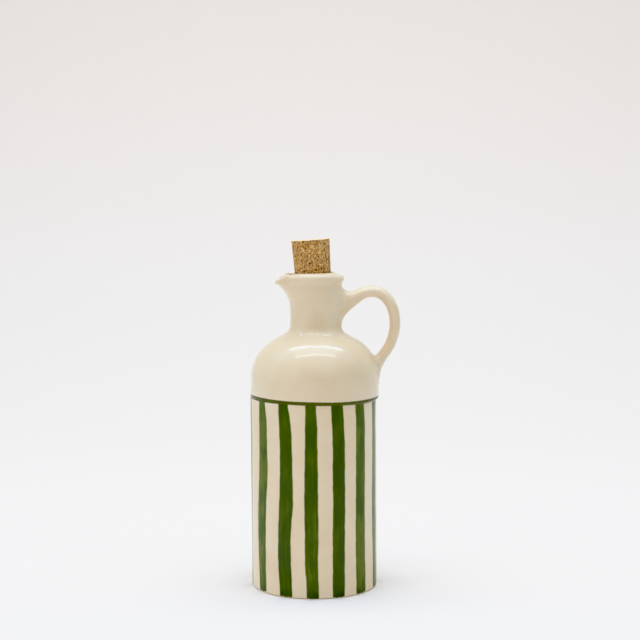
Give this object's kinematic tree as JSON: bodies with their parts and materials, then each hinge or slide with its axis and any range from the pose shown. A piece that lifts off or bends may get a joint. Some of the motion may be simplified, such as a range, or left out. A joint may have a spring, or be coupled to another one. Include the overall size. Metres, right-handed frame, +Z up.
{
  "type": "oil cruet",
  "caption": "Glazed ceramic oil cruet with a loop handle and a pouring lip, closed by a cork stopper, with painted upright stripes below a painted line.",
  "frame": {"origin": "centre of the flat foot, on the surface it stands on", "axes": "+Z up along the body, -X towards the pouring lip, +X towards the handle"},
  "size_m": [0.095, 0.0814, 0.221],
  "materials": {
    "glaze": "glossy cream glaze with hand-painted green stripes",
    "cork": "pressed cork granules, matt"
  },
  "bodies": {
    "root": {"bottle": "glaze", "cork": "cork"}
  },
  "joints": []
}
